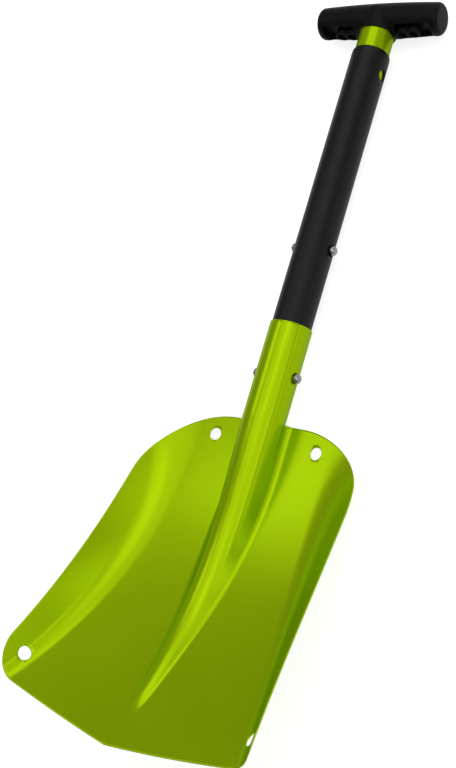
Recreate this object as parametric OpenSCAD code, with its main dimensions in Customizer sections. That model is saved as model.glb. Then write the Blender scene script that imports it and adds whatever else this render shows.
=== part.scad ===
// Camp shovel: a pressed sheet blade with a rolled neck, a plug-in shaft held by snap buttons,
// and a telescoping handle with a T-grip. It lies on its back: the shaft runs along Y toward
// the grip, the scoop opens upward. The origin is the middle of the shovel, on the ground.

/* [Blade sheet] */
// Thickness of the sheet that the blade and its neck are pressed from
sheet_t = 1.0; // [0.8:0.1:1.4]
// Length of the pan along its curved centre line
pan_l = 277.2; // [250:1:300]
// Half width of the pan at its top edge, measured to the line of its side
pan_half_w = 96.2; // [88:1:105]
// Angle by which each side leans outward toward the tip
side_flare = 6; // [3:0.1:8]
// Angle by which each half of the front edge falls away from the middle
edge_drop = 8.1; // [4:0.1:10]
// Radius of the top shoulders
shoulder_r = 74; // [60:1:78]
// Radius of the two front corners
corner_r = 25.7; // [15:0.1:38]
// Radius of the lengthwise curve of the pan
pan_r = 411; // [350:1:600]
// How far the pan lies below the middle of the shaft where it starts
pan_drop = 11.6; // [9:0.1:13.5]
// Radius of the crosswise curve of the pan's floor
floor_r = 606; // [450:2:1200]
// Distance from the middle at which the wings start to turn up, at the top edge
wing_top_u = 56.3; // [50:0.1:64]
// The same distance at the front edge
wing_tip_u = 105.8; // [102:0.2:110]
// Bend radius of the wings at the top edge
wing_top_r = 400; // [200:10:600]
// Bend radius of the wings at the front edge
wing_tip_r = 14; // [12:0.5:20]
// Slope at which the wings stop turning up, at the top edge
wing_top_lean = 29.4; // [20:0.2:40]
// The same slope at the front edge
wing_tip_lean = 64.6; // [56:0.2:72]

/* [Blade ridge] */
// Length of the stiffening ridge down the pan
ridge_l = 252; // [200:1:255]
// Radius of the valley along the foot of the ridge, at the neck
foot_r = 5; // [3:0.5:8]
// Radius of that valley at the ridge's end
foot_end_r = 7; // [5:0.5:10]
// Crest radius at the ridge's end
crest_end_r = 11; // [8:0.5:14]
// Slope of the ridge's flanks at its end
flank_end = 26; // [18:1:32]
// Width of the straight part of the flanks, at its widest
flank_w = 9; // [4:0.5:11]

/* [Blade holes] */
// Diameter of the four lashing holes
lash_d = 10; // [6:0.5:12]
// Distance of the upper holes from the middle, along the sheet
lash_top_u = 47; // [40:1:55]
// Distance of the upper holes from the top edge
lash_top_s = 17; // [14:0.2:25]
// Distance of the lower holes from the middle, along the sheet
lash_low_u = 103.9; // [100:0.1:106]
// Distance of the lower holes from the top edge
lash_low_s = 240.2; // [225:0.1:244]

/* [Tubes] */
// Outer diameter of the black shaft tube
shaft_d = 32; // [28:0.5:34]
// Wall of the black shaft tube
shaft_wall = 1.5; // [1.2:0.1:2]
// Wall of the green handle tube
handle_wall = 1.3; // [1:0.1:1.8]
// Running clearance between tubes that slide, on the radius
slide_gap = 0.05; // [0.03:0.01:0.1]
// Length of the neck
neck_l = 77; // [74:1:90]
// How far each sliding tube runs on below its snap buttons
tail_l = 27; // [26:1:30]
// Shaft tube that shows between the neck and its own upper end
shaft_out = 241.5; // [225:0.5:260]
// Handle tube that shows between the shaft tube and the grip
collar_l = 17; // [8:0.5:30]
// Length over which the upper end of the shaft tube is rounded in
lip_l = 4.5; // [1:0.5:6]

/* [Snap buttons] */
// Diameter of the snap buttons
button_d = 8.1; // [7:0.1:9.4]
// Clearance of a button in its holes, on the radius
hole_gap = 0.3; // [0.2:0.05:0.5]
// How far a button stands out of the outer tube
button_out = 4.8; // [3:0.1:5.5]
// Distance of the lower buttons below the neck's rim
lower_lock = 41; // [30:1:43]
// Distance of the upper buttons above the neck's rim when the handle is in
upper_lock = 66.3; // [55:0.1:80]
// How far the handle pulls out to its second lock
travel = 155; // [100:1:160]
// Width of the spring strip
strip_w = 10; // [8:0.5:11]
// Thickness of the spring strip
strip_t = 0.8; // [0.6:0.1:1]

/* [Grip] */
// Length of the grip
grip_l = 111.4; // [106:0.2:130]
// Radius of the grip at its middle
grip_r = 14.6; // [14:0.1:16.5]
// How much thinner the grip is at its ends, on the radius
grip_taper = 1.6; // [0:0.1:2.5]
// Rounding of the grip's ends
grip_round = 4; // [3:0.5:5.5]
// Wall of the hub around the handle tube
hub_wall = 1.5; // [1.3:0.1:3]
// Height of the hub's face below the middle of the grip
hub_drop = 13.4; // [12:0.1:16]
// Depth of the socket for the handle tube
socket_l = 16; // [14:0.5:18]
// Diameter of the cross pin that holds the grip
pin_d = 4; // [3:0.5:5]

/* [Finger pockets] */
// Distance of a pocket's inner end from the middle of the grip
pocket_in = 18.5; // [18:0.5:20]
// Distance of a pocket's outer end from the middle of the grip
pocket_out = 49.5; // [45:0.5:50]
// Width of a pocket
pocket_w = 20; // [16:0.5:21]
// Height of a pocket's floor below the middle of the grip
pocket_floor = 5; // [3:0.5:8]
// Outer diameter of the ring ribs in a pocket
ring_d = 11.4; // [9:0.1:12]
// Wall of the ring ribs
ring_wall = 1.7; // [1.2:0.1:2.2]
// Number of ring ribs in each pocket
rings = 2; // [1:1:2]

/* [Hidden] */

$fn = 96;
eps = 0.01;

// Tube radii, from the shaft tube inward and outward
shaft_r = shaft_d / 2;
shaft_in_r = shaft_r - shaft_wall;
handle_r = shaft_in_r - slide_gap;
handle_in_r = handle_r - handle_wall;
neck_in_r = shaft_r + slide_gap;
neck_r = neck_in_r + sheet_t;
hole_r = button_d / 2 + hole_gap;

// Stations along the shaft, from the neck's rim
grip_y = shaft_out + collar_l + hub_drop;
handle_low = upper_lock - tail_l;
shaft_low = -lower_lock - tail_l;
handle_top = grip_y - hub_drop + socket_l;
out_lock = upper_lock + travel;

// Placement: middle of the whole length over the origin, lowest line of the neck on the ground
tip_turn = turn(pan_l, pan_r);
front_y = -neck_l - (pan_r + sheet_t) * sin(tip_turn);
mid_shift = -(front_y + grip_y + grip_r) / 2;

module placed() {
    translate([0, mid_shift, neck_r]) children();
}

// Angle in degrees that an arc of length l turns on a radius r
function turn(l, r) = l / r * 180 / PI;
function mix(a, b, f) = a + (b - a) * f;
function polar(r, a) = [r * cos(a), r * sin(a)];

// ---------------------------------------------------------------- blade sheet
// A point of the sheet is found in two steps. Its flat place is [u, s]: u is measured across
// the sheet from the middle, s down its centre line from the top edge. Its section place is
// [x, n, lean]: x across, n up from the centre line, and the slope of the sheet there.

// Where the wing's bend starts, its radius and its final slope at distance s. The bend line
// sweeps outward as the square of the way to the front edge.
function way(s) = max(s, 0) / pan_l;
function wing_u(s) = mix(wing_top_u, wing_tip_u, pow(way(s), 2));
function wing_r(s) = 1 / mix(1 / wing_top_r, 1 / wing_tip_r, way(s));
function wing_lean(s) = mix(wing_top_lean, wing_tip_lean, way(s));
// Length of the bend, from the floor's slope to the wing's final slope
function bend_l(s) =
    wing_r(s) * max(wing_lean(s) - turn(wing_u(s), floor_r), 0) * PI / 180;

// Floor arc of radius floor_r, then the bend, then a straight wing
function floor_at(u, s) =
    let (
        flat = min(u, wing_u(s)),
        bend = min(u - flat, bend_l(s)),
        straight = u - flat - bend,
        a = turn(flat, floor_r),
        r = wing_r(s),
        b = a + turn(bend, r)
    )
    [
        floor_r * sin(a) + r * (sin(b) - sin(a)) + straight * cos(b),
        floor_r * (1 - cos(a)) + r * (cos(a) - cos(b)) + straight * sin(b),
        b
    ];

// The ridge's section is a crest arc, a straight flank and a valley arc. At the neck the
// crest is the neck's own round, so the sheet leaves the tube at neck_lean.
neck_lean = acos(1 - (pan_drop + neck_r) / (neck_r + foot_r));
function ridge_f(s) = min(max(s / ridge_l, 0), 1);
function ridge_lean(f) = mix(flank_end, neck_lean, pow(1 - f, 2));
function crest_r(f) = mix(neck_r, crest_end_r, f);
function valley_r(f) = mix(foot_r, foot_end_r, f);
function flank_at(f) = flank_w * f * pow(1 - f, 2) * 27 / 4;
function ridge_h(f) =
    (crest_r(f) + valley_r(f)) * (1 - cos(ridge_lean(f))) + flank_at(f) * sin(ridge_lean(f));
function ridge_w(f) =
    (crest_r(f) + valley_r(f)) * sin(ridge_lean(f)) + flank_at(f) * cos(ridge_lean(f));
// The last tenth of the ridge sinks into the floor
function fade(s) = let (g = min(max((ridge_l - s) / (ridge_l / 10), 0), 1)) g * g * (3 - 2 * g);

crest_n = 8;
flank_n = 2;
valley_n = 4;
ridge_n = crest_n + flank_n + valley_n;
floor_n = 4;
bend_n = 7;
wing_n = 2;
outer_n = floor_n + bend_n + wing_n;

// Column j of the ridge, 0 on the crest line and ridge_n at its foot
function ridge_at(j, s) =
    let (
        f = ridge_f(s),
        lean = ridge_lean(f),
        h = ridge_h(f),
        w = ridge_w(f),
        on_crest = j <= crest_n,
        on_flank = !on_crest && j < crest_n + flank_n,
        a = on_crest ? lean * j / crest_n : on_flank ? lean : lean * (ridge_n - j) / valley_n,
        along = on_flank ? flank_at(f) * (j - crest_n) / flank_n : 0,
        x = on_crest || on_flank ? crest_r(f) * sin(a) + along * cos(a) : w - valley_r(f) * sin(a),
        n = on_crest || on_flank
            ? h - crest_r(f) * (1 - cos(a)) - along * sin(a)
            : valley_r(f) * (1 - cos(a)),
        base = floor_at(x, s)
    )
    [x, base[1] + n * fade(s), -a * fade(s)];

// Outline of the flat sheet: top edge, shoulder arc, side, corner arc, front edge
shoulder_c = [pan_half_w + shoulder_r * (tan(side_flare) - 1 / cos(side_flare)), shoulder_r];
corner_u =
    (pan_half_w + (pan_l - corner_r / cos(edge_drop)) * tan(side_flare) - corner_r / cos(side_flare))
    / (1 + tan(side_flare) * tan(edge_drop));
corner_c = [corner_u, pan_l - corner_u * tan(edge_drop) - corner_r / cos(edge_drop)];
shoulder_half = (90 - side_flare) / 2;
corner_half = (90 - edge_drop + side_flare) / 2;
side_top = shoulder_c + polar(shoulder_r, -side_flare);
side_low = corner_c + polar(corner_r, -side_flare);
front_out = corner_c + polar(corner_r, 90 - edge_drop);

function top_edge(c) =
    let (
        straight = shoulder_c[0] - ridge_w(0),
        d = c * (straight + shoulder_r * shoulder_half * PI / 180)
    )
    d < straight
        ? [ridge_w(0) + d, 0]
        : shoulder_c + polar(shoulder_r, -90 + turn(d - straight, shoulder_r));

function side_edge(t) =
    let (
        shoulder_part = shoulder_r * shoulder_half * PI / 180,
        straight = norm(side_low - side_top),
        d = t * (shoulder_part + straight + corner_r * corner_half * PI / 180)
    )
    d < shoulder_part
        ? shoulder_c + polar(shoulder_r, -side_flare - shoulder_half + turn(d, shoulder_r))
        : d < shoulder_part + straight
            ? mix(side_top, side_low, (d - shoulder_part) / straight)
            : corner_c + polar(corner_r, -side_flare + turn(d - shoulder_part - straight, corner_r));

function front_edge(c) =
    let (
        start = [ridge_w(1), pan_l - ridge_w(1) * tan(edge_drop)],
        straight = norm(front_out - start),
        d = c * (straight + corner_r * corner_half * PI / 180)
    )
    d < straight
        ? mix(start, front_out, d / straight)
        : corner_c + polar(corner_r, 90 - edge_drop - turn(d - straight, corner_r));

// Foot line of the ridge, the inner border of the floor
function foot_line(t) =
    let (s = t * pan_l, w = ridge_w(ridge_f(s)))
    [w, s - t * w * tan(edge_drop)];

// The floor and wing are spread between those four borders
function outer_flat(c, t) =
    mix(top_edge(c), front_edge(c), t) + mix(foot_line(t), side_edge(t), c)
    - mix(mix(top_edge(0), side_edge(0), c), mix(front_edge(0), side_edge(1), c), t);

// The rolled neck grips a tongue of the sheet, drawn slightly thinner than the neck's wall
tongue_l = 3;
tongue_skin = 0.12;
relief = 0.5;
tongue_n = crest_n - 2;
rows = 36;
tongue_row = tongue_l / (pan_l + tongue_l);
function row_t(i) = i < 2 ? i * tongue_row : mix(tongue_row, 1, (i - 1) / (rows - 1));

// Share c of the way across at which row t meets the start (part 0) or the end (part 1) of
// the bend, closed in on in a few steps from c
function bend_c(t, part, c, steps) =
    steps == 0
        ? c
        : let (
            q = outer_flat(c, t),
            goal = wing_u(q[1]) + part * bend_l(q[1]),
            next = c + (goal - q[0]) / (side_edge(t)[0] - foot_line(t)[0])
        )
        bend_c(t, part, min(max(next, 0.1), 0.96), steps - 1);

// The outer columns lie on the floor, through the bend and on the wing
function column_c(k, start, end) =
    k <= floor_n
        ? start * k / floor_n
        : k <= floor_n + bend_n
            ? mix(start, end, (k - floor_n) / bend_n)
            : mix(end, 1, (k - floor_n - bend_n) / wing_n);

// Section place, centre line place and skin of the ridge's column j in row i
function ridge_point(i, j) =
    let (
        t = row_t(i),
        top = j <= tongue_n ? -tongue_l : 0,
        s = mix(top, pan_l, t),
        p = ridge_at(j, s)
    )
    [p, s - t * p[0] * tan(edge_drop), i < 2 && j <= tongue_n ? tongue_skin : 0];

// The same for column k beside the ridge
function outer_point(t, k, start, end) =
    let (q = outer_flat(column_c(k, start, end), t))
    [floor_at(q[0], q[1]), q[1], 0];

function grid_row(i) =
    let (
        t = row_t(i),
        start = bend_c(t, 0, 0.7, 6),
        end = bend_c(t, 1, 0.8, 6)
    )
    concat(
        [for (j = [0:ridge_n]) ridge_point(i, j)],
        [for (k = [1:outer_n]) outer_point(t, k, start, end)]
    );

// Place in space of a section point [x, n] at distance s down the centre line
function in_space(x, n, s) =
    let (a = turn(s, pan_r))
    [
        x,
        -neck_l - pan_r * sin(a) + n * sin(a),
        -pan_drop + pan_r * (1 - cos(a)) + n * cos(a)
    ];

// side is 1 or -1, depth is 0 on the upper face and 1 on the lower face
function sheet_point(g, side, depth) =
    let (
        p = g[0],
        d = mix(g[2], sheet_t - g[2], depth)
    )
    in_space(side * (p[0] + d * sin(p[2])), p[1] - d * cos(p[2]), g[1]);

half_n = ridge_n + outer_n;
cols = 2 * half_n + 1;

module pressed_sheet() {
    grid = [for (i = [0:rows]) grid_row(i)];
    points = [
        for (depth = [0, 1], i = [0:rows], j = [-half_n:half_n])
            sheet_point(grid[i][abs(j)], j < 0 ? -1 : 1, depth)
    ];
    low = (rows + 1) * cols;
    // The cells of both halves are split along mirrored diagonals
    upper = [
        for (i = [0:rows - 1], j = [0:cols - 2])
            let (a = i * cols + j, b = a + 1, c = a + cols, d = c + 1)
            each j < half_n ? [[a, b, d], [a, d, c]] : [[a, b, c], [b, d, c]]
    ];
    lower = [for (f = upper) [f[0] + low, f[2] + low, f[1] + low]];
    top_row = [for (j = [0:cols - 1]) j];
    right_row = [for (i = [1:rows]) i * cols + cols - 1];
    front_row = [for (j = [1:cols - 1]) rows * cols + cols - 1 - j];
    left_row = [for (i = [1:rows - 1]) (rows - i) * cols];
    ring = concat(top_row, right_row, front_row, left_row);
    rim = [
        for (k = [0:len(ring) - 1])
            let (a = ring[k], b = ring[(k + 1) % len(ring)])
            each [[a, b + low, b], [a, a + low, b + low]]
    ];
    polyhedron(points, concat(upper, lower, rim), convexity = 6);
}

function on_sheet(u, s) =
    let (p = floor_at(u, s))
    in_space(p[0], p[1], s);

// Stands a lashing hole's drill square to the plane through four points of the hole's rim,
// because the wing bends and twists under it
module square_to_sheet(u, s) {
    h = lash_d / 2;
    rim = [on_sheet(u - h, s), on_sheet(u + h, s), on_sheet(u, s - h), on_sheet(u, s + h)];
    up = cross(rim[3] - rim[2], rim[1] - rim[0]);
    translate((rim[0] + rim[1] + rim[2] + rim[3]) / 4)
        rotate([0, acos(up[2] / norm(up)), atan2(up[1], up[0])])
            children();
}

module lash_holes() {
    drill_l = 12;
    for (side = [0, 1]) {
        mirror([side, 0, 0]) {
            square_to_sheet(lash_top_u, lash_top_s)
                cylinder(d = lash_d, h = drill_l, center = true);
            square_to_sheet(lash_low_u, lash_low_s)
                cylinder(d = lash_d, h = drill_l, center = true);
        }
    }
}

// ---------------------------------------------------------------- shared forms
// Round tube about Y from y0 to y1
module tube(outer, inner, y0, y1) {
    translate([0, y1, 0])
        rotate([90, 0, 0])
            difference() {
                cylinder(r = outer, h = y1 - y0);
                translate([0, 0, -1]) cylinder(r = inner, h = y1 - y0 + 2);
            }
}

// Drill across the shaft at height y, through both walls
module cross_drill(y) {
    translate([0, y, 0])
        rotate([0, 90, 0])
            cylinder(r = hole_r, h = 2 * neck_r + 10, center = true);
}

module blade() {
    seam = 0.2;
    color("yellowgreen")
        placed()
            difference() {
                union() {
                    tube(neck_r, neck_in_r, -neck_l + relief, 0);
                    pressed_sheet();
                }
                cross_drill(-lower_lock);
                lash_holes();
                translate([-seam / 2, -neck_l, -neck_r - 1]) cube([seam, neck_l + 1, sheet_t + 2]);
            }
}

module lower_tube() {
    lip_n = 6;
    lip_edge = 0.1;
    lip_t = shaft_wall - lip_edge;
    color("#2b2b2b")
        placed()
            difference() {
                rotate([-90, 0, 0])
                    rotate_extrude()
                        polygon(concat(
                            [[shaft_in_r, shaft_low], [shaft_r, shaft_low]],
                            [
                                for (k = [0:lip_n])
                                    [shaft_r - lip_t, shaft_out - lip_l]
                                    + [lip_t * cos(90 * k / lip_n), lip_l * sin(90 * k / lip_n)]
                            ],
                            [[shaft_in_r, shaft_out]]
                        ));
                for (y = [-lower_lock, upper_lock, out_lock]) cross_drill(y);
            }
}

module upper_tube() {
    color("yellowgreen")
        placed()
            difference() {
                tube(handle_r, handle_in_r, handle_low, handle_top);
                cross_drill(upper_lock);
                pin_drill();
            }
}

// ---------------------------------------------------------------- snap buttons
seat_gap = 0.05;
shank_r = 2;
head_r = 3;
head_t = 0.9;
// How much wider than the body the ball of the button's head is, on the radius
ball_ease = 0.25;
// Outer face of the strip, where its edges meet the tube's wall
function strip_x(wall_r) = sqrt(pow(wall_r, 2) - pow(strip_w / 2, 2)) - seat_gap;

// Half of the strip's outline from its upper end to the bend, k inside its outer face
bend_r = 4;
arm_over = 2;
pad = strip_w / 2 + arm_over;
spring_end = 1;
spring_l = tail_l - bend_r - spring_end;
function strip_half(out, k) = concat(
    [[out - k, pad], [out - k, -pad]],
    [for (a = [0:15:75]) [0, -spring_l] + polar(bend_r - k, -a)]
);
function reversed(v) = [for (k = [len(v) - 1:-1:0]) v[k]];
function flipped(v) = [for (p = v) [-p[0], p[1]]];

// Spring strip bent to a V, its arms resting inside a tube of radius wall_r at height y
module snap_spring(wall_r, y) {
    outer = strip_half(strip_x(wall_r), 0);
    inner = strip_half(strip_x(wall_r), strip_t);
    translate([0, y, 0])
        difference() {
            translate([0, 0, -strip_w / 2])
                linear_extrude(strip_w)
                    polygon(concat(outer, reversed(flipped(outer)), flipped(inner), reversed(inner)));
            rotate([0, 90, 0]) cylinder(r = shank_r + seat_gap, h = 2 * wall_r, center = true);
        }
}

// Round-headed button on the right arm: body through both tubes, shank peened behind the strip
module snap_button(wall_r, cover_r, y) {
    out = strip_x(wall_r);
    top = cover_r + button_out;
    ball_r = button_d / 2 + ball_ease;
    translate([0, y, 0])
        rotate([0, 90, 0]) {
            intersection() {
                translate([0, 0, out + seat_gap]) cylinder(d = button_d, h = top - out);
                translate([0, 0, top - ball_r]) union() {
                    sphere(r = ball_r);
                    translate([0, 0, -top]) cylinder(r = ball_r, h = top);
                }
            }
            translate([0, 0, out - strip_t - seat_gap]) cylinder(r = shank_r, h = strip_t + 1);
            translate([0, 0, out - strip_t - seat_gap - head_t]) cylinder(r = head_r, h = head_t);
        }
}

module lower_spring() {
    color("silver") placed() snap_spring(shaft_in_r, -lower_lock);
}

module lower_button_right() {
    color("silver") placed() snap_button(shaft_in_r, neck_r, -lower_lock);
}

module lower_button_left() {
    color("silver") placed() mirror([1, 0, 0]) snap_button(shaft_in_r, neck_r, -lower_lock);
}

module upper_spring() {
    color("silver") placed() snap_spring(handle_in_r, upper_lock);
}

module upper_button_right() {
    color("silver") placed() snap_button(handle_in_r, shaft_r, upper_lock);
}

module upper_button_left() {
    color("silver") placed() mirror([1, 0, 0]) snap_button(handle_in_r, shaft_r, upper_lock);
}

// ---------------------------------------------------------------- grip
hub_r = handle_r + slide_gap + hub_wall;
// Edge distance of the cross pin, how far it ends short of the pockets, and the hub's roof
pin_edge = 1;
pin_short = 0.5;
hub_roof = 3;
pin_y = grip_y - hub_drop + pin_d + pin_edge;
pin_l = 2 * (pocket_in - pin_short);

// Barrel about X whose radius falls off in one shallow arc to rounded ends
module barrel(skin) {
    crown_r = (pow(grip_l / 2, 2) + pow(grip_taper, 2)) / (2 * grip_taper + eps);
    flank_x = grip_l / 2 - grip_round;
    end_r = grip_r - crown_r + sqrt(pow(crown_r, 2) - pow(flank_x, 2));
    crown_steps = 12;
    round_steps = 8;
    half = concat(
        [
            for (k = [0:crown_steps])
                let (x = flank_x * k / crown_steps)
                [grip_r - crown_r + sqrt(pow(crown_r, 2) - x * x) - skin, x]
        ],
        [
            for (k = [1:round_steps])
                [end_r - grip_round, flank_x]
                + (grip_round - skin) * [cos(90 * k / round_steps), sin(90 * k / round_steps)]
        ]
    );
    translate([0, grip_y, 0])
        rotate([0, 90, 0])
            for (side = [0, 1])
                mirror([0, 0, side])
                    rotate_extrude()
                        polygon(concat([[0, 0]], half, [[0, half[len(half) - 1][1]]]));
}

module pocket_shape(len, wide, r) {
    square([len - 2 * r, wide], center = true);
    square([len, wide - 2 * r], center = true);
    for (x = [-1, 1], y = [-1, 1]) translate([x * (len / 2 - r), y * (wide / 2 - r)]) circle(r = r);
}

// Column along Y that stands on the pocket floor and comes out below the grip
module pocket_column(x) {
    translate([x, grip_y - pocket_floor, 0])
        rotate([90, 0, 0])
            linear_extrude(grip_r) children();
}

// Round boss that the handle tube is socketed in
module hub() {
    round_r = 4;
    hub_top = socket_l - hub_drop + hub_roof;
    steps = 6;
    translate([0, grip_y, 0])
        rotate([-90, 0, 0])
            rotate_extrude()
                polygon(concat(
                    [[0, -hub_drop], [hub_r, -hub_drop]],
                    [
                        for (k = [0:steps])
                            [hub_r - round_r, hub_top - round_r]
                            + round_r * [cos(90 * k / steps), sin(90 * k / steps)]
                    ],
                    [[0, hub_top]]
                ));
}

module pin_drill() {
    translate([0, pin_y, 0])
        rotate([0, 90, 0])
            cylinder(d = pin_d + 2 * seat_gap, h = pin_l + 4, center = true);
}

module grip() {
    pocket_len = pocket_out - pocket_in;
    pocket_mid = (pocket_out + pocket_in) / 2;
    corner = 3;
    ring_skin = 0.4;
    ring_short = 0.7;
    ring_step = ring_d - ring_wall;
    first_ring = pocket_in + ring_d / 2 - ring_short;
    color("#1c1c1c")
        placed()
            difference() {
                union() {
                    difference() {
                        barrel(0);
                        for (side = [-1, 1])
                            pocket_column(side * pocket_mid) pocket_shape(pocket_len, pocket_w, corner);
                    }
                    intersection() {
                        barrel(ring_skin);
                        for (side = [-1, 1], k = [0:rings - 1])
                            pocket_column(side * (first_ring + k * ring_step))
                                difference() {
                                    circle(d = ring_d);
                                    circle(d = ring_d - 2 * ring_wall);
                                }
                    }
                    hub();
                }
                translate([0, handle_top + seat_gap, 0])
                    rotate([90, 0, 0])
                        cylinder(r = handle_r + slide_gap, h = socket_l + 5);
                pin_drill();
            }
}

// Cross pin through the hub and the handle tube, its ends just inside the finger pockets
module grip_pin() {
    chamfer = 0.4;
    color("silver")
        placed()
            translate([0, pin_y, 0])
                rotate([0, 90, 0])
                    rotate_extrude()
                        polygon([
                            [0, -pin_l / 2],
                            [pin_d / 2 - chamfer, -pin_l / 2],
                            [pin_d / 2, -pin_l / 2 + chamfer],
                            [pin_d / 2, pin_l / 2 - chamfer],
                            [pin_d / 2 - chamfer, pin_l / 2],
                            [0, pin_l / 2]
                        ]);
}

blade();
lower_tube();
lower_spring();
lower_button_right();
lower_button_left();
upper_tube();
upper_spring();
upper_button_right();
upper_button_left();
grip();
grip_pin();
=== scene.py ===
import bpy
import numpy as np
from mathutils import Matrix, Vector


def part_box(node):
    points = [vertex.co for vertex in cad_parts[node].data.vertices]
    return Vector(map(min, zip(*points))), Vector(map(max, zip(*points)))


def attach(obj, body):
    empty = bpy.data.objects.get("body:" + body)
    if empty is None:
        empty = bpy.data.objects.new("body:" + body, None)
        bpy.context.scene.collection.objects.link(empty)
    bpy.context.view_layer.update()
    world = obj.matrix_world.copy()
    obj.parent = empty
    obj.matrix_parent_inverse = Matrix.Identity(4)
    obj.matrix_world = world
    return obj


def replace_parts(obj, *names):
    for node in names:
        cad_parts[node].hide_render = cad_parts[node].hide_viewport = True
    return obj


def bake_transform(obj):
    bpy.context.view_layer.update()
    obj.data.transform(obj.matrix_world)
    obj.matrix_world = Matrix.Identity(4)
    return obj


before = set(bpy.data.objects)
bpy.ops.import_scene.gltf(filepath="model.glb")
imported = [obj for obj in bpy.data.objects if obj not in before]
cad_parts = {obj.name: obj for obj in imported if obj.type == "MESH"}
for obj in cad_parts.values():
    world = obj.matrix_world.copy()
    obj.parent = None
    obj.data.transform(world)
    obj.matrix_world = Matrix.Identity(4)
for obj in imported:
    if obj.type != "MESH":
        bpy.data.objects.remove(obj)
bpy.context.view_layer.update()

# ---------------------------------------------------------------- blade
# The blade is one aluminium sheet, 1 mm thick, blanked flat, pressed to a scoop with a ridge
# down its middle, and rolled at the top into a neck with a seam at the back. It is coated
# lime green after forming, so the coat runs over its edges too.
sheet_t = 1.0
edge_round = 0.3
rim_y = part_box("blade")[1].y * 1000
axis_z = sum(corner.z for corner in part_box("lower_tube")) / 2 * 1000

neck_l = 77.0
pan_l = 277.2
pan_half_w = 96.2 - edge_round
side_flare = np.radians(6.0)
edge_drop = np.radians(8.1)
shoulder_r = 74.0
corner_r = 25.7
pan_r = 411.0
pan_drop = 11.6
floor_r = 606.0
wing_top_u, wing_tip_u = 56.3, 105.8
wing_top_r, wing_tip_r = 400.0, 14.0
wing_top_lean, wing_tip_lean = np.radians(29.4), np.radians(64.6)
ridge_l = 252.0
ridge_sink = 0.1
neck_r = 17.05
crest_end_r = 11.0
foot_r, foot_end_r = 5.0, 7.0
flank_end = np.radians(26.0)
flank_w = 9.0
flank_peak = 4 / 27
lash_holes = ((47.0, 17.0), (103.9, 240.2))
lash_r = 5.0
lock_hole_r = 4.35
lower_lock = 41.0
seam_half = 0.1


def mix(a, b, f):
    """The value a fraction f of the way from a to b."""
    return a + (b - a) * f


def floor_at(u, s):
    """Across the sheet from its middle line runs a shallow arc of radius floor_r, then a bend
    up to the wing's slope, then the straight wing. Down the pan the bend starts further out,
    as the square of the way, and gets tighter and steeper. Gives x, height and slope."""
    way = np.maximum(s, 0) / pan_l
    start = mix(wing_top_u, wing_tip_u, way ** 2)
    r = 1 / mix(1 / wing_top_r, 1 / wing_tip_r, way)
    a = np.minimum(u, start) / floor_r
    full = r * np.maximum(mix(wing_top_lean, wing_tip_lean, way) - start / floor_r, 0)
    bend = np.clip(u - start, 0, full)
    straight = np.maximum(u - start - full, 0)
    b = a + bend / r
    x = floor_r * np.sin(a) + r * (np.sin(b) - np.sin(a)) + straight * np.cos(b)
    n = floor_r * (1 - np.cos(a)) + r * (np.cos(a) - np.cos(b)) + straight * np.sin(b)
    return x, n, b


neck_lean = np.arccos(1 - (pan_drop + neck_r) / (neck_r + foot_r))


def ridge_form(f):
    """Slope of the flank, crest radius, valley radius and flank width at a fraction f of the
    ridge: the slope eases off as the square of what is left. The flank is widest, flank_w,
    a third of the way down, and has no width at either end."""
    lean = mix(flank_end, neck_lean, (1 - f) ** 2)
    flank = flank_w * f * (1 - f) ** 2 / flank_peak
    return lean, mix(neck_r, crest_end_r, f), mix(foot_r, foot_end_r, f), flank


def ridge_half_width(f):
    """Crest arc, flank and valley arc laid end to end, measured across."""
    lean, crest, valley, flank = ridge_form(f)
    return (crest + valley) * np.sin(lean) + flank * np.cos(lean)


# Columns of the mesh across each part of the ridge
crest_n, flank_n, valley_n = 24, 4, 9
ridge_n = crest_n + flank_n + valley_n


def ridge_at(j, s):
    """Section of the ridge in column j at distance s: an arc over the crest, a straight flank
    and a valley arc back to the floor, standing on the floor's own curve. At the neck each of
    the three has its own columns; down the ridge the columns even out along the whole section.
    The last tenth of the ridge sinks smoothly away. Gives x, height and slope."""
    f = np.clip(s / ridge_l, 0, 1)
    lean, crest, valley, flank = ridge_form(f)
    top = (crest + valley) * (1 - np.cos(lean)) + flank * np.sin(lean)
    width = ridge_half_width(f)
    over_crest, over_valley = crest * lean, valley * lean
    whole = over_crest + flank + over_valley
    own = (
        over_crest * np.clip(j / crest_n, 0, 1)
        + flank * np.clip((j - crest_n) / flank_n, 0, 1)
        + over_valley * np.clip((j - crest_n - flank_n) / valley_n, 0, 1)
    )
    d = mix(own, whole * j / ridge_n, f)
    upper = d < over_crest + flank
    a = np.where(upper, np.minimum(d / crest, lean), (whole - d) / valley)
    along = np.clip(d - over_crest, 0, flank)
    x = np.where(upper, crest * np.sin(a) + along * np.cos(a), width - valley * np.sin(a))
    n = np.where(upper, top - crest * (1 - np.cos(a)) - along * np.sin(a), valley * (1 - np.cos(a)))
    g = np.clip((ridge_l - s) / (ridge_l * ridge_sink), 0, 1)
    fade = g * g * (3 - 2 * g)
    base = floor_at(x, s)[1]
    return x, base + n * fade, -a * fade


def on_arc(centre, r, angle):
    """Points on a circle of the flat blank."""
    return np.stack([centre[0] + r * np.cos(angle), centre[1] + r * np.sin(angle)], -1)


def along_edge(start, end, centre, r, angle, arc, c):
    """A straight edge and then half of the corner arc next to it, walked at an even pace as c
    goes from 0 to 1. angle is where the arc begins, arc how far it turns."""
    line = np.hypot(*(end - start))
    d = c * (line + r * abs(arc))
    on_line = start + (end - start) * np.clip(d / line, 0, 1)[..., None]
    on_round = on_arc(centre, r, angle + arc * np.clip((d - line) / (r * abs(arc)), 0, 1))
    return np.where((d < line)[..., None], on_line, on_round)


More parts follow.
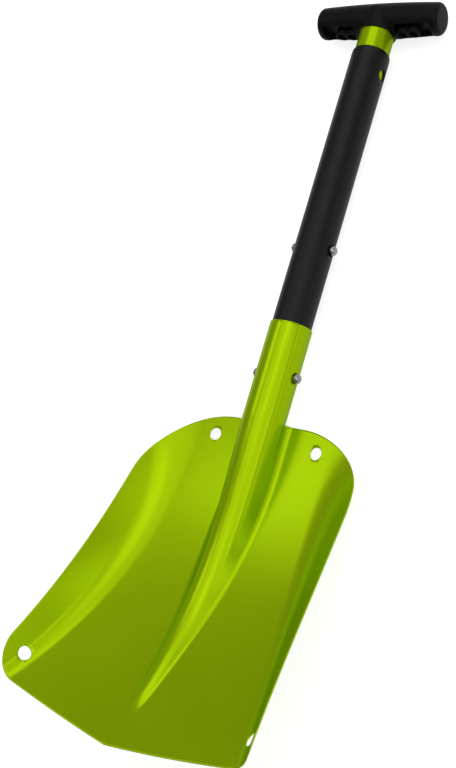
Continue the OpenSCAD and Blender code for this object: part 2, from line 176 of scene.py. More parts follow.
front_l = pan_l - edge_round
shoulder_c = np.array([
    pan_half_w + shoulder_r * (np.tan(side_flare) - 1 / np.cos(side_flare)),
    shoulder_r + edge_round,
])
corner_u = (
    pan_half_w
    + (front_l - corner_r / np.cos(edge_drop)) * np.tan(side_flare)
    - corner_r / np.cos(side_flare)
) / (1 + np.tan(side_flare) * np.tan(edge_drop))
corner_c = np.array([
    corner_u,
    front_l - corner_u * np.tan(edge_drop) - corner_r / np.cos(edge_drop),
])
shoulder_half = (np.pi / 2 - side_flare) / 2
corner_half = (np.pi / 2 - edge_drop + side_flare) / 2
side_top = on_arc(shoulder_c, shoulder_r, -side_flare)
side_low = on_arc(corner_c, corner_r, -side_flare)
front_out = on_arc(corner_c, corner_r, np.pi / 2 - edge_drop)


def foot_line(t):
    """Foot of the ridge in the flat blank, from the top edge to the front edge."""
    s = mix(edge_round, front_l, t)
    w = ridge_half_width(np.clip(s / ridge_l, 0, 1))
    return np.stack([w, s - t * w * np.tan(edge_drop)], -1)


def side_edge(t):
    """Half of the shoulder arc, the straight side and half of the corner arc."""
    shoulder_part = shoulder_r * shoulder_half
    straight = np.hypot(*(side_low - side_top))
    d = t * (shoulder_part + straight + corner_r * corner_half)
    on_shoulder = np.minimum(d, shoulder_part)
    on_corner = np.maximum(d - shoulder_part - straight, 0)
    shoulder = on_arc(shoulder_c, shoulder_r, -side_flare - shoulder_half + on_shoulder / shoulder_r)
    line = side_top + (side_low - side_top) * np.clip((d - shoulder_part) / straight, 0, 1)[:, None]
    corner = on_arc(corner_c, corner_r, -side_flare + on_corner / corner_r)
    first = (d < shoulder_part)[:, None]
    last = (d > shoulder_part + straight)[:, None]
    return np.where(first, shoulder, np.where(last, corner, line))


# The floor and wing are spread evenly between their four borders: t runs down the pan, c from
# the ridge's foot to the side
pan_rows = 150
wing_columns = 84
t = np.linspace(0, 1, pan_rows + 1)
c = np.linspace(0, 1, wing_columns + 1)
foot = foot_line(t)
side = side_edge(t)
top_out = np.array([shoulder_c[0], edge_round])
top = along_edge(foot[0], top_out, shoulder_c, shoulder_r, -np.pi / 2, shoulder_half, c)
front = along_edge(foot[-1], front_out, corner_c, corner_r, np.pi / 2 - edge_drop, -corner_half, c)
T, C = t[:, None, None], c[None, :, None]
blank = (
    (1 - T) * top[None] + T * front[None] + (1 - C) * foot[:, None] + C * side[:, None]
    - (1 - T) * ((1 - C) * top[0] + C * top[-1]) - T * ((1 - C) * front[0] + C * front[-1])
)


# A hole's circle is the 4th square of vertices round its centre, and moves those out to the 7th
hole_ring, hole_reach = 4, 7


def punch(flat, centre, radius, ring, reach):
    """Opens a round hole in a grid of flat places. In a square block of cells round the hole
    each vertex slides along its ray from the centre, so that the ring-th square of vertices
    becomes the circle and the block's border stays. Gives the new places and which vertices
    lie on the circle or inside it."""
    i0, j0 = np.unravel_index(np.argmin(((flat - centre) ** 2).sum(-1)), flat.shape[:2])
    di, dj = np.meshgrid(np.arange(-reach, reach + 1), np.arange(-reach, reach + 1), indexing="ij")
    square = np.maximum(abs(di), abs(dj))
    scale = reach / np.maximum(square, 1)
    fi, fj = i0 + di * scale, j0 + dj * scale
    a, b = np.floor(fi).astype(int), np.floor(fj).astype(int)
    a, b = np.minimum(a, flat.shape[0] - 2), np.minimum(b, flat.shape[1] - 2)
    p, q = (fi - a)[..., None], (fj - b)[..., None]
    border = (
        flat[a, b] * (1 - p) * (1 - q) + flat[a + 1, b] * p * (1 - q)
        + flat[a, b + 1] * (1 - p) * q + flat[a + 1, b + 1] * p * q
    )
    ray = border - centre
    far = np.linalg.norm(ray, axis=-1, keepdims=True)
    step = np.clip((square - ring) / (reach - ring), 0, 1)[..., None]
    moved = centre + ray / far * (radius + (far - radius) * step)
    flat, inside = flat.copy(), np.zeros(flat.shape[:2], bool)
    flat[i0 - reach:i0 + reach + 1, j0 - reach:j0 + reach + 1] = moved
    inside[i0 - reach:i0 + reach + 1, j0 - reach:j0 + reach + 1] = square <= ring
    return flat, inside


def quads(index, inside=None):
    """Four-cornered faces between neighbours of a grid of vertex numbers, without those whose
    corners are all inside a hole."""
    q = np.stack([index[:-1, :-1], index[1:, :-1], index[1:, 1:], index[:-1, 1:]], -1)
    if inside is None:
        return q.reshape(-1, 4)
    gone = inside[:-1, :-1] & inside[1:, :-1] & inside[1:, 1:] & inside[:-1, 1:]
    return q[~gone]


def shell(name, outer, inner, faces, bulge):
    """A sheet with an outer and an inner face and a half-round edge: each open edge of the
    outer face is carried over to the inner one in four steps that swing out by bulge."""
    n = len(outer)
    a = np.concatenate([faces[:, k] for k in range(4)])
    b = np.concatenate([faces[:, (k + 1) % 4] for k in range(4)])
    key, back = a * n + b, b * n + a
    free = ~np.isin(key, back)
    a, b = a[free], b[free]
    edge = outer[b] - outer[a]
    up = outer[a] - inner[a]
    out = np.cross(edge, up)
    out /= np.linalg.norm(out, axis=1, keepdims=True) + 1e-12
    away = np.zeros_like(outer)
    np.add.at(away, a, out)
    np.add.at(away, b, out)
    rim = np.unique(np.concatenate([a, b]))
    away = away[rim] / (np.linalg.norm(away[rim], axis=1, keepdims=True) + 1e-12)
    place = np.full(n, -1)
    place[rim] = np.arange(len(rim))
    points, loops = [outer, inner], [np.arange(n)]
    for k in range(1, 4):
        turn = np.pi * k / 4
        between = mix(outer[rim], inner[rim], (1 - np.cos(turn)) / 2)
        points.append(between + away * bulge * np.sin(turn))
        loops.append(place + 2 * n + (k - 1) * len(rim))
    loops.append(np.arange(n) + n)
    walls = [np.stack([lo[b], lo[a], hi[a], hi[b]], -1) for lo, hi in zip(loops, loops[1:])]
    every = np.concatenate([faces, faces[:, ::-1] + n] + walls)
    return surface(name, np.concatenate(points), every)


def surface(name, points, faces):
    """Puts whole arrays of points in millimetres and of faces into a mesh, without the points
    that no face uses. A three-cornered face repeats its last corner."""
    used, faces = np.unique(faces, return_inverse=True)
    faces = faces.reshape(-1, 4)
    three = faces[:, 2] == faces[:, 3]
    sizes = np.where(three, 3, 4)
    corner = np.ones_like(faces, bool)
    corner[:, 3] = ~three
    mesh = bpy.data.meshes.new(name)
    mesh.vertices.add(len(used))
    mesh.vertices.foreach_set("co", (points[used] / 1000).astype(np.float32).ravel())
    mesh.loops.add(int(sizes.sum()))
    mesh.loops.foreach_set("vertex_index", faces[corner].astype(np.int32))
    mesh.polygons.add(len(sizes))
    starts = np.cumsum(sizes) - sizes
    mesh.polygons.foreach_set("loop_start", starts.astype(np.int32))
    mesh.polygons.foreach_set("use_smooth", np.ones(len(sizes), bool))
    mesh.update(calc_edges=True)
    mesh.validate()
    piece = bpy.data.objects.new(name, mesh)
    bpy.context.scene.collection.objects.link(piece)
    return piece


def in_place(x, n, s):
    """Lays section points x, n along the pan's centre line, an arc of radius pan_r that leaves
    the neck parallel to the shaft."""
    a = np.maximum(s, 0) / pan_r
    y = rim_y - neck_l - np.minimum(s, 0) - pan_r * np.sin(a) + n * np.sin(a)
    return np.stack([x, y, axis_z - pan_drop + pan_r * (1 - np.cos(a)) + n * np.cos(a)], -1)


def both_faces(x, n, lean, s, side):
    """Upper and lower face of the sheet: the lower one lies sheet_t along the sheet's normal."""
    lower = in_place(side * (x + sheet_t * np.sin(lean)), n - sheet_t * np.cos(lean), s)
    return in_place(side * x, n, s), lower


inside = np.zeros(blank.shape[:2], bool)
for centre in lash_holes:
    blank, hole = punch(blank, np.array(centre), lash_r + edge_round, hole_ring, hole_reach)
    inside |= hole

# The ridge's columns come before the floor's. Over the crest its first row lies where the neck
# ends, and toward the front its rows slant back with the edge.
ridge_j = np.arange(ridge_n)[None, :]
ridge_s = np.repeat(mix(edge_round, front_l, t)[:, None], ridge_n, 1)
ridge_s[0, :crest_n + 1] = 0
x, n, lean = ridge_at(ridge_j, ridge_s)
ridge_s = ridge_s - t[:, None] * x * np.tan(edge_drop)
fx, fn, fl = floor_at(blank[..., 0], blank[..., 1])
x = np.concatenate([x, fx], 1)
n = np.concatenate([n, fn], 1)
lean = np.concatenate([lean, fl], 1)
s = np.concatenate([ridge_s, blank[..., 1]], 1)
inside = np.concatenate([np.zeros(ridge_s.shape, bool), inside], 1)

# Neck: the crest's own round carried on to the seam at the back, and up to the rim
neck_rows = 52
back_n = 16
crest_arc = neck_lean * np.arange(crest_n + 1) / crest_n
back_arc = np.linspace(neck_lean, np.pi - seam_half / neck_r, back_n + 1)[1:]
arc = np.concatenate([crest_arc, back_arc])
neck_y = np.linspace(-edge_round, -neck_l, neck_rows + 1)
flat = np.stack(np.broadcast_arrays(arc[None, :] * neck_r, neck_y[:, None]), -1)
lock_place = np.array([np.pi / 2 * neck_r, -lower_lock])
flat, neck_hole = punch(flat, lock_place, lock_hole_r + edge_round, hole_ring, hole_reach)


def round_tube(arc_l, y, r, at, side):
    """Points of a tube about the shaft's axis from an arc length measured on radius r from the
    top line, set on radius at."""
    a = arc_l / r
    return np.stack([side * at * np.sin(a), rim_y + y, axis_z + at * np.cos(a)], -1)


# The right half, then its mirror image, which shares the right half's middle column. The
# neck's last row over the crest is the pan's first.
upper, lower, all_faces, count = [], [], [], 0
for side_x in (1, -1):
    pan_up, pan_low = both_faces(x, n, lean, s, side_x)
    pan_index = count + np.arange(x.size).reshape(x.shape)
    if side_x < 0:
        pan_index[:, 0] = pan_middle
    else:
        pan_middle = pan_index[:, 0]
    upper.append(pan_up.reshape(-1, 3))
    lower.append(pan_low.reshape(-1, 3))
    count += x.size
    neck_up = round_tube(flat[..., 0], flat[..., 1], neck_r, neck_r, side_x)
    neck_low = round_tube(flat[..., 0], flat[..., 1], neck_r, neck_r - sheet_t, side_x)
    neck_index = count + np.arange(flat[..., 0].size).reshape(flat.shape[:2])
    if side_x < 0:
        neck_index[:, 0] = neck_middle
    else:
        neck_middle = neck_index[:, 0]
    neck_index[-1, :crest_n + 1] = pan_index[0, :crest_n + 1]
    if side_x > 0:
        neck_middle[-1] = pan_index[0, 0]
    upper.append(neck_up.reshape(-1, 3))
    lower.append(neck_low.reshape(-1, 3))
    count += flat[..., 0].size
    for index, hole in ((pan_index, inside), (neck_index, neck_hole)):
        faces = quads(index, hole)
        all_faces.append(faces if side_x > 0 else faces[:, ::-1])

blade = shell(
    "blade_sheet", np.concatenate(upper), np.concatenate(lower), np.concatenate(all_faces), edge_round,
)


def linear(code):
    """A colour written as an sRGB hex value, turned to linear light."""
    parts = [int(code[k:k + 2], 16) / 255 for k in (1, 3, 5)]
    return [p / 12.92 if p <= 0.04045 else ((p + 0.055) / 1.055) ** 2.4 for p in parts] + [1.0]


def add(tree, kind, links=(), **values):
    """Adds one node. values sets its properties, or its sockets by name; links is a list of
    (socket of this node, output of another)."""
    node = tree.nodes.new(kind)
    for key, value in values.items():
        if hasattr(node, key):
            setattr(node, key, value)
        else:
            node.inputs[key.replace("_", " ")].default_value = value
    for socket, source in links:
        tree.links.new(source, node.inputs[socket])
    return node


def finish(name):
    """A new material with its Principled shader, its tree and Object coordinates."""
    material = bpy.data.materials.new(name)
    material.use_nodes = True
    tree = material.node_tree
    shader = tree.nodes["Principled BSDF"]
    place = add(tree, "ShaderNodeTexCoord").outputs["Object"]
    return material, tree, shader, place


# Lime metallic coat on aluminium: a transparent green dye over the bare metal, so that the
# sheen takes the colour too and never goes white. It is satin, with a fine peel in cells about
# 1.6 mm wide, and its tone and gloss wander a little over a few centimetres.
lime, tree, shader, place = finish("lime_metallic_satin_aluminium")
peel_size, patch_size, peel_height = 0.0016, 0.06, 0.00003
peel = add(tree, "ShaderNodeTexNoise", [("Vector", place)], Scale=1 / peel_size, Detail=2.0)
patch = add(tree, "ShaderNodeTexNoise", [("Vector", place)], Scale=1 / patch_size, Detail=3.0)
tint = add(tree, "ShaderNodeMix", [("Factor", patch.outputs["Fac"])], data_type="RGBA")
tint.inputs["A"].default_value = linear("#A2C604")
tint.inputs["B"].default_value = linear("#AACE08")
gloss = add(tree, "ShaderNodeMapRange", [("Value", patch.outputs["Fac"])], To_Min=0.21, To_Max=0.27)
bump = add(
    tree, "ShaderNodeBump", [("Height", peel.outputs["Fac"])], Strength=0.2, Distance=peel_height,
)
tree.links.new(tint.outputs["Result"], shader.inputs["Base Color"])
tree.links.new(gloss.outputs["Result"], shader.inputs["Roughness"])
tree.links.new(bump.outputs["Normal"], shader.inputs["Normal"])
shader.inputs["Metallic"].default_value = 0.6
shader.inputs["Specular IOR Level"].default_value = 0.15
shader.inputs["Specular Tint"].default_value = linear("#C4DE50")
blade.data.materials.append(lime)
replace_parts(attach(blade, "blade"), "blade")

# ---------------------------------------------------------------- shaft tube
# Drawn aluminium tube, 32 mm outside with a 1.5 mm wall, anodised black. Its upper end is
# rolled in over the handle tube, and three pairs of cross holes are drilled for the snap
# buttons: one pair in the neck, and one for each lock of the handle.
shaft_r = 16.0
shaft_wall = 1.5
shaft_low = -68.0
shaft_out = 241.5
lip_l = 4.5
lip_gap = 0.1
lip_edge = 0.05
upper_lock = 66.3
travel = 155.0
tube_columns = 96
tube_row_l = 1.6
lip_rows = 8


def drilled_tube(name, low, high, r, r_in, holes, lip=0.0):
    """A tube about the shaft's axis from y = low to high, with round cross holes on both
    sides. Over the last lip of its length the outside turns in along a quarter ellipse."""
    rows = int((high - low) / tube_row_l)
    straight = np.linspace(low + edge_round, high - max(lip, edge_round), rows)
    lip_angle = np.linspace(0, np.pi / 2, lip_rows + 1)[1:]
    turned = high - lip + lip * np.sin(lip_angle) if lip else np.zeros(0)
    y = np.concatenate([straight, turned])
    arc = np.linspace(-np.pi / 2, 3 * np.pi / 2, tube_columns + 1)[:-1] * r
    flat = np.stack(np.broadcast_arrays(arc[None, :], y[:, None]), -1)
    inside = np.zeros(flat.shape[:2], bool)
    quarter, half_l = tube_columns // 4, np.pi * r
    for hole_y in holes:
        # Each side is first rolled clear of the grid's own seam, with its arc length set to 0
        for turn in (quarter * 2, 0):
            rolled = np.roll(flat, quarter - turn, 1)
            rolled[..., 0] = (rolled[..., 0] - rolled[:1, quarter, 0] + half_l) % (2 * half_l) - half_l
            middle = np.array([0.0, hole_y])
            rolled, hole = punch(rolled, middle, lock_hole_r + edge_round, hole_ring, hole_reach)
            rolled[..., 0] += arc[turn]
            flat = np.roll(rolled, turn - quarter, 1)
            inside |= np.roll(hole, turn - quarter, 1)
    drop = np.zeros(len(y))
    if lip:
        past = (y - high + lip).clip(0) / lip
        drop = (r - r_in - lip_gap) * (1 - np.sqrt(np.clip(1 - past ** 2, 0, 1)))
    outer = round_tube(flat[..., 0], flat[..., 1], r, r - drop[:, None], 1)
    inner = round_tube(flat[..., 0], flat[..., 1], r, r_in, 1)
    index = np.arange(inside.size).reshape(inside.shape)
    index = np.concatenate([index, index[:, :1]], 1)
    inside = np.concatenate([inside, inside[:, :1]], 1)
    bulge = lip_edge if lip else edge_round
    return shell(name, outer.reshape(-1, 3), inner.reshape(-1, 3), quads(index, inside)[:, ::-1], bulge)


shaft_tube = drilled_tube(
    "shaft_tube", shaft_low, shaft_out, shaft_r, shaft_r - shaft_wall,
    (-lower_lock, upper_lock, upper_lock + travel), lip_l,
)

# Satin black anodised aluminium. The dyed oxide hides the metal, so it is not a metal here,
# and it is porous, so its sheen is weaker than a paint's. It keeps the fine lengthwise drawing
# lines of the tube, about 0.4 mm apart, and its gloss wanders over 3 cm.
black, tree, shader, place = finish("black_anodised_aluminium")
line_w, line_height, patch_size = 0.0004, 0.00002, 0.03
along = add(tree, "ShaderNodeMapping", [("Vector", place)], Scale=(1.0, 0.02, 1.0))
drawn = along.outputs["Vector"]
lines = add(tree, "ShaderNodeTexNoise", [("Vector", drawn)], Scale=1 / line_w, Detail=2.0)
patch = add(tree, "ShaderNodeTexNoise", [("Vector", place)], Scale=1 / patch_size, Detail=3.0)
gloss = add(tree, "ShaderNodeMapRange", [("Value", patch.outputs["Fac"])], To_Min=0.36, To_Max=0.44)
bump = add(
    tree, "ShaderNodeBump", [("Height", lines.outputs["Fac"])], Strength=0.12, Distance=line_height,
)
tree.links.new(gloss.outputs["Result"], shader.inputs["Roughness"])
tree.links.new(bump.outputs["Normal"], shader.inputs["Normal"])
shader.inputs["Base Color"].default_value = linear("#080706")
shader.inputs["IOR"].default_value = 1.5
shader.inputs["Specular IOR Level"].default_value = 0.25
shaft_tube.data.materials.append(black)
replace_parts(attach(shaft_tube, "shaft"), "lower_tube")

# ---------------------------------------------------------------- handle tube
# Aluminium tube that slides in the shaft tube, coated in the blade's lime, with one pair of
# cross holes for its own snap buttons. Most of it is hidden when the handle is in.
handle_r = 14.45
handle_wall = 1.3
handle_low, handle_high = (corner.y * 1000 - rim_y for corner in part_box("upper_tube"))
handle_tube = drilled_tube(
    "handle_tube", handle_low, handle_high, handle_r, handle_r - handle_wall, (upper_lock,),
)
handle_tube.data.materials.append(lime)
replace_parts(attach(handle_tube, "handle"), "upper_tube")

# ---------------------------------------------------------------- snap buttons
# Turned steel studs with a domed head, nickel plated and polished. The thin shank behind the
# head goes through the spring strip and is peened to a flat rivet head inside it.
button_r = 4.05
ball_r = 4.3
body_chamfer = 0.05
shank_r = 2.0
rivet_r = 2.9
rivet_t = 0.9
strip_room = 0.9
shoulder_l, shoulder_end = 0.4, 0.1
dome_rows = 18
stud_columns = 48


def turned_faces(rows, columns):
    """Faces of a form turned about an axis. Its first row is drawn together to one point, and
    so is its last, which makes the faces next to them three-cornered."""
    index = np.arange(rows * columns).reshape(rows, columns)
    index[0], index[-1] = index[0, 0], index[-1, 0]
    index = np.concatenate([index, index[:, :1]], 1)
    faces = quads(index)
    at_first = faces[:, 0] == faces[:, 3]
    at_last = faces[:, 1] == faces[:, 2]
    faces[at_last] = faces[at_last][:, [0, 1, 3, 3]]
    faces[at_first] = faces[at_first][:, [1, 2, 3, 3]]
    return faces


def stud(name, node, side):
    """A profile of radius against height turned about the X axis at the CAD button's place:
    rivet head, shank, straight body and spherical dome."""
    low, high = (np.array(corner) * 1000 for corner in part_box(node))
    far, near = (high[0], low[0]) if side > 0 else (-low[0], -high[0])
    cap = np.arcsin(button_r / ball_r) * np.linspace(1, 0, dome_rows)
    dome = far - ball_r + ball_r * np.cos(cap)
    rivet, base = near + rivet_t, near + rivet_t + strip_room
    shoulder, head = dome[0] - shoulder_l, dome[0] - shoulder_end
    height = np.concatenate([[near, near, rivet, rivet, base, base, shoulder, head], dome])
    radius = np.concatenate([
        [0.0, rivet_r, rivet_r, shank_r, shank_r, button_r - body_chamfer, button_r, button_r],
        ball_r * np.sin(cap),
    ])
    angle = np.linspace(0, 2 * np.pi, stud_columns + 1)[:-1]
    centre_y, centre_z = (low[1] + high[1]) / 2, (low[2] + high[2]) / 2
    points = np.stack(np.broadcast_arrays(
        side * height[:, None],
        centre_y + radius[:, None] * np.cos(angle),
        centre_z - side * radius[:, None] * np.sin(angle),
    ), -1).reshape(-1, 3)
    return surface(name, points, turned_faces(len(height), stud_columns))


# Bright nickel-plated steel: mirror-like, its gloss wandering over about a millimetre where
# the polish is uneven.
steel, tree, shader, place = finish("nickel_plated_steel")
polish_size = 0.0012
polish = add(tree, "ShaderNodeTexNoise", [("Vector", place)], Scale=1 / polish_size, Detail=3.0)
gloss = add(tree, "ShaderNodeMapRange", [("Value", polish.outputs["Fac"])], To_Min=0.12, To_Max=0.24)
tree.links.new(gloss.outputs["Result"], shader.inputs["Roughness"])
shader.inputs["Base Color"].default_value = linear("#9FA09D")
shader.inputs["Metallic"].default_value = 1.0

for height, tube in (("lower", "shaft"), ("upper", "handle")):
    for hand, side_x in (("right", 1), ("left", -1)):
        node = f"{height}_button_{hand}"
        button = stud(f"{height}_stud_{hand}", node, side_x)
        button.data.materials.append(steel)
        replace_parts(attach(button, f"{tube}_button_{hand}"), node)

# ---------------------------------------------------------------- springs and pin
# Flat strips of blued spring steel bent to a V, one in each tube, and the plain cross pin of
# the grip. Each strip is made as two arms that meet in the middle of its fold.
strip_w = 10.0
strip_t = 0.8
strip_edge = 0.05
wall_gap = 0.05
fold_r = 4.0
fold_drop = 22.0
pad_half = 7.0
shank_hole_r = 2.15
arm_rows, arm_columns = 38, 14
shank_ring, shank_reach = 3, 6


def arm_face(flat, reach, under):
    """One face of an arm, from places measured across and along the strip: a quarter circle
    of the fold, a straight slope out to the wall, and a straight pad that lies along it. The
    inner face lies under millimetres closer to the middle. Gives points beside the lock hole."""
    across, along = flat[..., 0], flat[..., 1]
    fold_l = np.pi / 2 * fold_r
    slope_l = np.hypot(reach - fold_r, fold_drop - pad_half)
    a = np.clip(along / fold_r, 0, np.pi / 2)
    g = np.clip((along - fold_l) / slope_l, 0, 1)
    x = (fold_r - under) * np.sin(a) + (reach - fold_r) * g
    y = (fold_drop - pad_half) * g - fold_drop - (fold_r - under) * np.cos(a)
    return np.stack([x, y + np.maximum(along - fold_l - slope_l, 0), across], -1)


def spring_arm(name, side, wall_r, lock_y):
    """An arm of a strip, with the hole for the button's shank in the middle of its pad."""
    reach = np.sqrt(wall_r ** 2 - (strip_w / 2) ** 2) - wall_gap
    arm_l = np.pi / 2 * fold_r + np.hypot(reach - fold_r, fold_drop - pad_half) + 2 * pad_half
    along = np.linspace(0, arm_l, arm_rows + 1)
    across = np.linspace(-strip_w / 2, strip_w / 2, arm_columns + 1)
    flat = np.stack(np.broadcast_arrays(across[None, :], along[:, None]), -1)
    pad_middle = np.array([0.0, arm_l - pad_half])
    flat, hole = punch(flat, pad_middle, shank_hole_r, shank_ring, shank_reach)
    faces = quads(np.arange(hole.size).reshape(hole.shape), hole)
    middle = np.array([0.0, rim_y + lock_y, axis_z])
    mirrored = np.array([side, 1, 1])
    outer = (arm_face(flat, reach, 0.0) * mirrored + middle).reshape(-1, 3)
    inner = (arm_face(flat, reach, strip_t) * mirrored + middle).reshape(-1, 3)
    return shell(name, outer, inner, faces[:, ::side], strip_edge)


# Blued spring steel, as rolled, with a grain of about 0.8 mm
strip, tree, shader, place = finish("blued_spring_steel")
grain_size = 0.0008
grain = add(tree, "ShaderNodeTexNoise", [("Vector", place)], Scale=1 / grain_size, Detail=4.0)
gloss = add(tree, "ShaderNodeMapRange", [("Value", grain.outputs["Fac"])], To_Min=0.25, To_Max=0.45)
tree.links.new(gloss.outputs["Result"], shader.inputs["Roughness"])
shader.inputs["Base Color"].default_value = linear("#6E7175")
shader.inputs["Metallic"].default_value = 1.0

for height, tube, wall_r, lock_y in (
    ("lower", "shaft", shaft_r - shaft_wall, -lower_lock),
    ("upper", "handle", handle_r - handle_wall, upper_lock),
):
    for hand, side_x in (("right", 1), ("left", -1)):
        arm = spring_arm(f"{height}_spring_{hand}", side_x, wall_r, lock_y)
        arm.data.materials.append(strip)
        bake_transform(arm)
        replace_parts(arm, f"{height}_spring")

pin_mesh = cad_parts["grip_pin"].data
pin_mesh.materials.clear()
pin_mesh.materials.append(steel)

# ---------------------------------------------------------------- grip
# Moulded T-grip: a barrel that thins toward rounded ends, a round boss for the handle tube,
# and on the shaft side two finger pockets, each with ring ribs standing on its floor.
grip_r = 14.6
grip_half = 55.7
grip_taper = 1.6
grip_round = 4.0
grip_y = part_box("grip")[1].y * 1000 - grip_r
hub_r = 16.0
hub_drop = 13.4
hub_rise = 5.6
pocket_in, pocket_out = 18.5, 49.5
pocket_half_w = 10.0
pocket_floor = 5.0
pocket_corner = 3.0
pocket_soft, ring_soft = 0.35, 0.25
ring_out, ring_in = 5.7, 4.0
ring_count = 2
ring_past = 0.7
first_ring = pocket_in + ring_out - ring_past
ring_step = ring_out + ring_in
boss_fairing = 0.8
crown_r = (grip_half ** 2 + grip_taper ** 2) / (2 * grip_taper)


def barrel_radius(x):
    """Radius of the barrel: one shallow arc along its length, turned in at each end along a
    quarter circle."""
    far = grip_half - grip_round
    flank = grip_r - crown_r + np.sqrt(crown_r ** 2 - np.minimum(abs(x), far) ** 2)
    past = np.clip((abs(x) - far) / grip_round, 0, 1)
    return flank - grip_round * (1 - np.sqrt(1 - past ** 2))


def ramp(distance, soft):
    """0 outside, 1 inside and a smooth slope between, over a strip 2 soft wide."""
    g = np.clip(distance / (2 * soft) + 0.5, 0, 1)
    return g * g * (3 - 2 * g)


def pocket_share(x, z):
    """How far the surface is sunk to the pocket floor: 1 inside a rectangle with rounded
    corners, less over the ring ribs."""
    mid, half = (pocket_in + pocket_out) / 2, (pocket_out - pocket_in) / 2
    dx = abs(abs(x) - mid) - (half - pocket_corner)
    dz = abs(z) - (pocket_half_w - pocket_corner)
    outside = np.hypot(np.maximum(dx, 0), np.maximum(dz, 0)) + np.minimum(np.maximum(dx, dz), 0)
    sunk = ramp(pocket_corner - outside, pocket_soft)
    for k in range(ring_count):
        d = np.hypot(abs(x) - first_ring - k * ring_step, z)
        sunk = np.minimum(sunk, 1 - ramp(ring_out - d, ring_soft) * ramp(d - ring_in, ring_soft))
    return sunk


# Sections along the barrel, closest over the pockets and at the rounded ends, and angles round
# it, closest on the side of the pockets
fine_from, fine_to, fine_step = 17.0, 51.0, 0.33
fine_angle = 52
fine_x = np.arange(fine_from, fine_to, fine_step)
end_x = grip_half - grip_round + grip_round * np.sin(np.linspace(0.02, np.pi / 2, 22))
half_x = np.concatenate([np.linspace(0, fine_from, 35)[:-1], fine_x, end_x])
xs = np.concatenate([-half_x[:0:-1], half_x])
pocket_side = np.linspace(-fine_angle, fine_angle, 150)
far_side = np.linspace(fine_angle, 360 - fine_angle, 90)[1:-1]
theta = np.radians(np.concatenate([pocket_side, far_side]))
X, A = np.meshgrid(xs, theta, indexing="ij")
R = barrel_radius(X)
# Boss: a cylinder about the shaft's axis, standing out of the barrel between its flat lower
# face and its rounded top, faired into the barrel over about 1 mm
beside = np.sqrt(np.clip(hub_r ** 2 - X ** 2, 0, None)) / np.maximum(abs(np.sin(A)), 1e-6)
below = hub_drop / np.maximum(np.cos(A), 1e-6)
above = hub_rise / np.maximum(-np.cos(A), 1e-6)
boss = np.minimum(beside, np.where(np.cos(A) > 0, below, above))
stands = np.maximum(boss - R, 0)
grown = R + np.sqrt(stands ** 2 + boss_fairing ** 2) - boss_fairing
Y = grip_y - grown * np.cos(A)
Z = grown * np.sin(A)
sunk = pocket_share(X, Z) * (np.cos(A) > 0)
floor_y = grip_y - pocket_floor
Y = np.where(Y < floor_y, mix(Y, floor_y, sunk), Y)
points = np.stack([X, Y, axis_z + Z], -1).reshape(-1, 3)
faces = turned_faces(len(xs), len(theta))
grip = surface("grip_body", points, faces)

# Black glass-filled nylon, moulded in a spark-eroded tool: matt with a grain of about 0.6 mm,
# and a sheen that wanders over 2 cm.
nylon, tree, shader, place = finish("black_moulded_nylon")
grain_size, grain_height, patch_size = 0.0006, 0.00005, 0.02
grain = add(tree, "ShaderNodeTexNoise", [("Vector", place)], Scale=1 / grain_size, Detail=3.0)
patch = add(tree, "ShaderNodeTexNoise", [("Vector", place)], Scale=1 / patch_size, Detail=2.0)
gloss = add(tree, "ShaderNodeMapRange", [("Value", patch.outputs["Fac"])], To_Min=0.42, To_Max=0.55)
bump = add(
    tree, "ShaderNodeBump", [("Height", grain.outputs["Fac"])], Strength=0.3, Distance=grain_height,
)
tree.links.new(gloss.outputs["Result"], shader.inputs["Roughness"])
tree.links.new(bump.outputs["Normal"], shader.inputs["Normal"])
shader.inputs["Base Color"].default_value = linear("#090909")
shader.inputs["IOR"].default_value = 1.5
shader.inputs["Specular IOR Level"].default_value = 0.13
grip.data.materials.append(nylon)
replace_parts(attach(grip, "handle"), "grip")

# ---------------------------------------------------------------- studio
# White paper floor under the shovel, a plain world, ten soft boxes 2 m away and the camera.
# The boxes stand where the blade's bends mirror them as its bright bands.
floor_half = 6.0
floor_z = -0.0005
floor_mesh = bpy.data.meshes.new("studio_floor")
corners = [(-1, -1), (1, -1), (1, 1), (-1, 1)]
places = [(x * floor_half, y * floor_half, floor_z) for x, y in corners]
floor_mesh.from_pydata(places, [], [(0, 1, 2, 3)])
floor = bpy.data.objects.new("studio_floor", floor_mesh)
bpy.context.scene.collection.objects.link(floor)

# The paper takes the shadow. To the camera it also glows, at 0.8 near the shovel and at 1 from
# 2 m out, so that it is white round the shadow and has no horizon. Metal mirrors a dimmer glow.
paper, tree, shader, place = finish("white_paper_sweep")
fibre_size = 0.0025
fibre = add(tree, "ShaderNodeTexNoise", [("Vector", place)], Scale=1 / fibre_size, Detail=2.0)
tone = add(tree, "ShaderNodeMix", [("Factor", fibre.outputs["Fac"])], data_type="RGBA")
tone.inputs["A"].default_value = linear("#BCBCBB")
tone.inputs["B"].default_value = linear("#C0C0C0")
tree.links.new(tone.outputs["Result"], shader.inputs["Base Color"])
shader.inputs["Roughness"].default_value = 0.9
ray = add(tree, "ShaderNodeLightPath")
mirrored = add(tree, "ShaderNodeMath", [
    (0, ray.outputs["Is Glossy Ray"]), (1, ray.outputs["Is Transmission Ray"]),
], operation="MAXIMUM")
dimmer = 0.43
mirrored_glow = add(tree, "ShaderNodeMath", [(0, mirrored.outputs["Value"])], operation="MULTIPLY")
mirrored_glow.inputs[1].default_value = dimmer
away = add(tree, "ShaderNodeVectorMath", [(0, place)], operation="LENGTH")
pale = add(
    tree, "ShaderNodeMapRange", [("Value", away.outputs["Value"])],
    From_Min=0.8, From_Max=2.0, To_Min=0.8, To_Max=1.0,
)
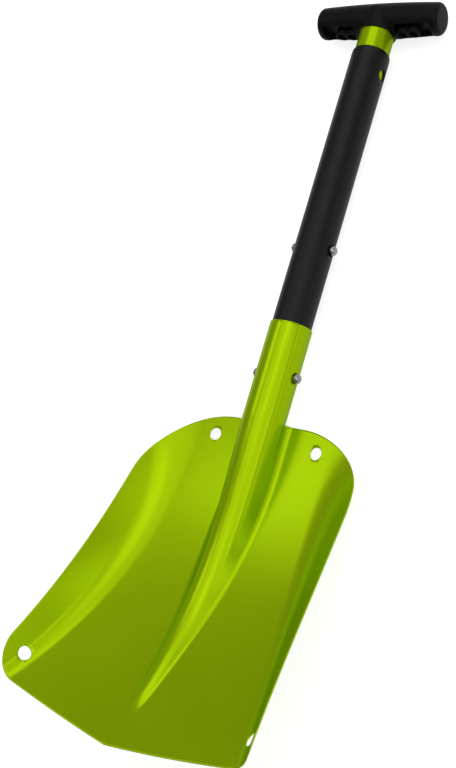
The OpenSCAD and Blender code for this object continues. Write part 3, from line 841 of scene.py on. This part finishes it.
seen_glow = add(tree, "ShaderNodeMath", [
    (0, ray.outputs["Is Camera Ray"]), (1, pale.outputs["Result"]),
], operation="MULTIPLY")
glow = add(tree, "ShaderNodeMath", [
    (0, mirrored_glow.outputs["Value"]), (1, seen_glow.outputs["Value"]),
], operation="MAXIMUM")
tree.links.new(glow.outputs["Value"], shader.inputs["Emission Strength"])
shader.inputs["Emission Color"].default_value = (1, 1, 1, 1)
floor_mesh.materials.append(paper)

# The world is white to the camera and fills the shadows at about a quarter of that
world = bpy.data.worlds.new("studio")
bpy.context.scene.world = world
world.use_nodes = True
tree = world.node_tree
background = tree.nodes["Background"]
background.inputs["Color"].default_value = (1, 1, 1, 1)
shadow_fill = 0.26
ray = add(tree, "ShaderNodeLightPath")
fill = add(tree, "ShaderNodeMath", [(0, ray.outputs["Is Camera Ray"])], operation="MAXIMUM")
fill.inputs[1].default_value = shadow_fill
tree.links.new(fill.outputs["Value"], background.inputs["Strength"])

box_distance = 2.0


def standing(right, up, back, place):
    """The placing of a lamp or camera from its right, up and backward directions."""
    return Matrix([(right[k], up[k], back[k], place[k]) for k in range(3)] + [(0, 0, 0, 1)])


def soft_box(name, azimuth, elevation, half_across, half_up, radiance):
    """A rectangular lamp that faces the origin. Its middle lies at an azimuth, counted from +Y
    toward +X, and an elevation; it reaches the two half angles across and up. All are in
    degrees. Its power is pi times its area times the radiance that a mirror would show."""
    azimuth, elevation = np.radians(azimuth), np.radians(elevation)
    toward = Vector((
        np.sin(azimuth) * np.cos(elevation),
        np.cos(azimuth) * np.cos(elevation),
        np.sin(elevation),
    ))
    across = Vector((np.cos(azimuth), -np.sin(azimuth), 0))
    upward = toward.cross(across)
    lamp = bpy.data.lights.new(name, "AREA")
    lamp.shape = "RECTANGLE"
    lamp.size = 2 * box_distance * np.tan(np.radians(half_across))
    lamp.size_y = 2 * box_distance * np.tan(np.radians(half_up))
    lamp.energy = np.pi * lamp.size * lamp.size_y * radiance
    box = bpy.data.objects.new(name, lamp)
    bpy.context.scene.collection.objects.link(box)
    box.matrix_world = standing(across, upward, toward, toward * box_distance)


for setting in (
    ("top_left_box", -90, 83, 8, 14, 0.35),
    ("top_box", 0, 80, 22, 12, 0.8),
    ("top_right_box", 90, 72, 26, 10, 0.55),
    ("right_box", 90, 53, 26, 11, 0.83),
    ("right_strip", 99, 34, 23, 8, 1.15),
    ("far_top_box", 5, 63, 28, 8, 0.6),
    ("far_box", 0, 44, 20, 11, 1.2),
    ("far_low_box", 18, 20, 22, 8, 1.1),
    ("left_strip", -70, 50, 8, 9, 1.5),
    ("right_low_strip", 88, 11, 29, 5, 1.0),
):
    soft_box(*setting)

# The camera stands to the right of the blade and looks down at 54 degrees, with the shaft
# running up the picture and a little to the right
view = bpy.data.cameras.new("camera")
view.sensor_fit = "AUTO"
view.sensor_width = 36.0
view.lens = 53.57
camera = bpy.data.objects.new("camera", view)
bpy.context.scene.collection.objects.link(camera)
right = (0.813231, 0.284414, -0.507705)
up = (-0.137337, 0.941588, 0.307489)
back = (0.565503, -0.180333, 0.804790)
eye = (0.47482, -0.21896 + rim_y / 1000, 0.73635 + axis_z / 1000)
camera.matrix_world = standing(right, up, back, eye)
bpy.context.scene.camera = camera
bpy.context.scene.view_settings.view_transform = "Standard"
